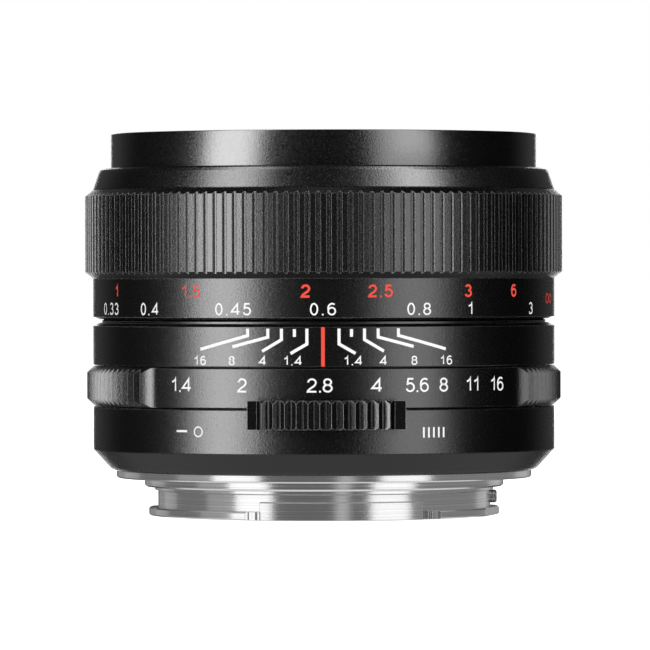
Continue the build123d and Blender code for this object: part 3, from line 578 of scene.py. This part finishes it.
def filter_collar():
    """Front collar as one turned surface, with a real 0.75 mm thread inside its mouth."""
    crest, root = FILTER_R, FILTER_R + THREAD_DEPTH
    outer = [(26.55, COLLAR_FOOT), (30.15, COLLAR_FOOT), (30.30, 40.66), (COLLAR_R, 40.78),
             (COLLAR_R, 44.0), (COLLAR_R, 48.74), (30.31, 48.84), (30.22, COLLAR_RIM),
             (29.20, COLLAR_RIM), (29.08, 48.86), (MOUTH_R, 48.78)]
    thread_rows = int((THREAD_START - THREAD_END) / THREAD_ROW) + 1
    thread = [THREAD_START - THREAD_ROW * i for i in range(thread_rows)]
    inner = [(FILTER_R, 45.62), (27.60, 45.60), (27.60, 42.20), (26.55, 42.20)]
    verts, faces = [], []
    rows = len(outer) + len(thread) + len(inner)
    for j in range(COLLAR_SIDES):
        azimuth = 360 * j / COLLAR_SIDES
        for r, z in outer:
            verts.append(on_barrel(azimuth, r, z))
        for z in thread:
            phase = (z / THREAD_PITCH + azimuth / 360) % 1.0
            wave = abs(2 * phase - 1)
            depth = min(1.0, max(0.0, (wave - 0.14) / 0.72))    # flat crests and roots
            fade = min(1.0, (z - THREAD_END) / THREAD_FADE)
            mouth = min(1.0, max(0.0, (THREAD_START - z) / MOUTH_HEIGHT))
            r = crest + (root - crest) * depth * fade
            r = max(r, crest + (MOUTH_R - crest) * (1 - mouth))
            verts.append(on_barrel(azimuth, r, z))
        for r, z in inner:
            verts.append(on_barrel(azimuth, r, z))
    for j in range(COLLAR_SIDES):
        k = (j + 1) % COLLAR_SIDES
        for i in range(rows):
            n = (i + 1) % rows
            faces.append((j * rows + i, j * rows + n, k * rows + n, k * rows + i))
    collar = add_mesh("filter_collar", verts, faces, MAT["collar"], "optical_block")
    collar.data.shade_smooth()
    collar.data.set_sharp_from_angle(angle=math.radians(32))
    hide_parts("front_collar")


filter_collar()

# ---- stage -----------------------------------------------------------------------------------
FLOOR_Z = CAD_BOX[0].z - 0.00005
FLOOR_HALF = 30.0               # metres, half the floor's side
BOUNCE_Z = FLOOR_Z - 0.030      # low enough that upright faces near the floor don't mirror it


def stage_floor():
    """White floor for the camera only, clear from below."""
    look = Look("stage_floor")
    look.set(Base_Color=(0.80, 0.80, 0.80, 1), Roughness=0.9, Specular_IOR_Level=0.0,
             Emission_Color=(1, 1, 1, 1), Emission_Strength=1.0)
    side = look.node("ShaderNodeNewGeometry")
    clear = look.node("ShaderNodeBsdfTransparent")
    mix = look.node("ShaderNodeMixShader")
    look.link(side, "Backfacing", mix, 0)
    look.link(look.shader, "BSDF", mix, 1)
    look.link(clear, "BSDF", mix, 2)
    look.link(mix, "Shader", look.out, "Surface")
    mesh = bpy.data.meshes.new("floor")
    corners = [(x * FLOOR_HALF, y * FLOOR_HALF, FLOOR_Z)
               for x, y in ((-1, -1), (1, -1), (1, 1), (-1, 1))]
    mesh.from_pydata(corners, [], [(0, 1, 2, 3)])
    floor = bpy.data.objects.new("floor", mesh)
    bpy.context.scene.collection.objects.link(floor)
    mesh.materials.append(look.mat)
    floor.visible_glossy = False
    floor.visible_diffuse = False
    floor.visible_shadow = False


def bounce_card(radius, strength):
    """Pale card under the lens, seen only in its finishes: what the table throws back up, less of
    it from the shaded side behind. The radius is in mm."""
    look = Look("bounce_card")
    look.set(Base_Color=(0, 0, 0, 1), Roughness=1.0, Specular_IOR_Level=0.0,
             Emission_Color=(1, 1, 1, 1))
    split = look.node("ShaderNodeSeparateXYZ")
    look.link(look.coords, "Object", split, "Vector")
    fall = look.remap(split, -0.02, 0.06, strength, strength * 0.35, "Y")
    look.link(fall, "Result", look.shader, "Emission Strength")
    verts = [(*on_barrel(a, radius, 0)[:2], BOUNCE_Z) for a in range(0, 360, 6)]
    mesh = bpy.data.meshes.new("bounce_card")
    mesh.from_pydata(verts, [], [list(range(len(verts)))])
    card = bpy.data.objects.new("bounce_card", mesh)
    bpy.context.scene.collection.objects.link(card)
    mesh.materials.append(look.mat)
    card.visible_camera = False
    card.visible_shadow = False


stage_floor()
bounce_card(85, 0.41)


# ---- light -----------------------------------------------------------------------------------
NEAR = 0.75             # metres from the axis, cards that draw the highlights
FAR = 1.3               # cards that fill in the mount and the figures
CARD_BOTTOM = -0.35
CARD_TOP = 1.25


def softbox(name, azimuth, width, radiance, distance=NEAR, bottom=CARD_BOTTOM, top=CARD_TOP):
    """Upright strip light facing the lens. Azimuth is from -Y towards +X, in degrees, lengths in
    metres."""
    light = bpy.data.lights.new(name, "AREA")
    light.shape = "RECTANGLE"
    light.size = width
    light.size_y = top - bottom
    light.energy = radiance * math.pi * width * (top - bottom)
    lamp = bpy.data.objects.new(name, light)
    bpy.context.scene.collection.objects.link(lamp)
    a = math.radians(azimuth)
    lamp.location = (distance * math.sin(a), -distance * math.cos(a), (bottom + top) / 2)
    lamp.rotation_euler = (math.radians(90), 0, a)
    lamp.visible_camera = False
    return lamp


def flat_softbox(name, side, radiance, location, turn):
    """Square light that lies flat, facing down, or up with turn=math.pi."""
    lamp = softbox(name, 0, side, radiance, 0.0, -side / 2, side / 2)
    lamp.location = location
    lamp.rotation_euler = (turn, 0, 0)
    return lamp


def light_only(lamp, pieces, state):
    """Limits a lamp to some pieces (INCLUDE), or keeps it off them (EXCLUDE)."""
    group = bpy.data.collections.new(lamp.name + "_receivers")
    for piece in pieces:
        group.objects.link(piece)
    lamp.light_linking.receiver_collection = group
    for item in group.collection_objects:
        item.light_linking.link_state = state


BRIGHT_PARTS = [NODES[n] for n in ("mount_flange", "mount_screws", "bayonet_stop_screw",
                                   "flange_shim")]
PALE_PARTS = BRIGHT_PARTS + Marks.pieces
# Cards as (name, azimuth, width, radiance, bottom), and without the bottom in the later lists.
BODY_CARDS = (("key_left", -50.5, 0.40, 6.1, CARD_BOTTOM),
              ("fill_right", 43.5, 0.43, 2.05, CARD_BOTTOM),
              ("key_left_high", -50.5, 0.31, 1.6, 0.06),
              ("fill_right_high", 50, 0.33, 1.3, 0.14),
              ("back", 180, 0.34, 2.2, CARD_BOTTOM))
MARKS_CARDS = (("front_on_marks", 0, 4.2, 1.9), ("left_on_marks", -72, 2.6, 1.5),
               ("right_on_marks", 72, 2.6, 1.5))
MOUNT_KEYS = (("key_left_on_mount", -49, 0.37, 1.3), ("fill_right_on_mount", 45, 0.38, 1.22))
MOUNT_CARDS = (("front_on_mount", 0, 4.2, 0.17), ("left_on_mount", -112, 3.4, 0.21),
               ("right_on_mount", 112, 3.4, 0.26), ("middle_on_mount", 12, 0.20, 0.42),
               ("soft_left_on_mount", -76, 0.55, 0.19), ("left_rim_on_mount", -134, 0.5, 0.17),
               ("right_rim_on_mount", 142, 0.5, 0.19))
for name, azimuth, width, radiance, bottom in BODY_CARDS:
    light_only(softbox(name, azimuth, width, radiance, bottom=bottom), PALE_PARTS, "EXCLUDE")
for name, azimuth, width, radiance in MARKS_CARDS:
    light_only(softbox(name, azimuth, width, radiance, FAR), Marks.pieces, "INCLUDE")
light_only(flat_softbox("overhead", 0.36, 0.45, (0, -0.1, 1.0), 0), PALE_PARTS, "EXCLUDE")
light_only(softbox("fill_right_on_bezel", 52, 0.33, 3.6), [NODES["front_bezel"]], "INCLUDE")
for name, azimuth, width, radiance in MOUNT_KEYS:
    light_only(softbox(name, azimuth, width, radiance), BRIGHT_PARTS, "INCLUDE")
for name, azimuth, width, radiance in MOUNT_CARDS:
    light_only(softbox(name, azimuth, width, radiance, FAR), BRIGHT_PARTS, "INCLUDE")
light_only(flat_softbox("table_on_mount", 0.095, 0.52, (0, 0, BOUNCE_Z + 0.00005), math.pi),
           BRIGHT_PARTS, "INCLUDE")


# ---- world -----------------------------------------------------------------------------------
def studio_world():
    """White to the camera. To everything else a dark room, with a dim wall behind the lens."""
    world = bpy.data.worlds.new("studio")
    bpy.context.scene.world = world
    world.use_nodes = True
    nodes, links = world.node_tree.nodes, world.node_tree.links
    nodes.clear()
    out = nodes.new("ShaderNodeOutputWorld")
    white = nodes.new("ShaderNodeBackground")
    white.inputs["Color"].default_value = (1, 1, 1, 1)
    white.inputs["Strength"].default_value = 1.0
    room = nodes.new("ShaderNodeBackground")
    room.inputs["Strength"].default_value = 1.0
    where = nodes.new("ShaderNodeTexCoord")
    split = nodes.new("ShaderNodeSeparateXYZ")
    ramp = nodes.new("ShaderNodeValToRGB")
    stops = ((0.55, grey(0.005)), (0.85, grey(0.10)))
    for element, (position, value) in zip(ramp.color_ramp.elements, stops):
        element.position = position
        element.color = (*value, 1)
    rays = nodes.new("ShaderNodeLightPath")
    mix = nodes.new("ShaderNodeMixShader")
    links.new(where.outputs["Generated"], split.inputs["Vector"])
    links.new(split.outputs["Y"], ramp.inputs["Fac"])
    links.new(ramp.outputs["Color"], room.inputs["Color"])
    links.new(rays.outputs["Is Camera Ray"], mix.inputs[0])
    links.new(room.outputs["Background"], mix.inputs[1])
    links.new(white.outputs["Background"], mix.inputs[2])
    links.new(mix.outputs["Shader"], out.inputs["Surface"])


studio_world()

# ---- camera ----------------------------------------------------------------------------------
CAMERA_PLACE = (0.00017, -0.888, 0.02874)
CAMERA_DOWN = 0.457     # degrees below level
CAMERA_ROLL = -0.115
lens_data = bpy.data.cameras.new("camera")
lens_data.lens = 344.3
lens_data.sensor_width = 36.0
lens_data.clip_start = 0.01
lens_data.clip_end = 200
camera = bpy.data.objects.new("camera", lens_data)
bpy.context.scene.collection.objects.link(camera)
camera.location = CAMERA_PLACE
aim = (Matrix.Rotation(math.radians(90 - CAMERA_DOWN), 4, "X")
       @ Matrix.Rotation(math.radians(CAMERA_ROLL), 4, "Z"))
camera.rotation_euler = aim.to_euler()
bpy.context.scene.camera = camera
bpy.context.scene.view_settings.view_transform = "Standard"
bpy.context.scene.view_settings.look = "None"
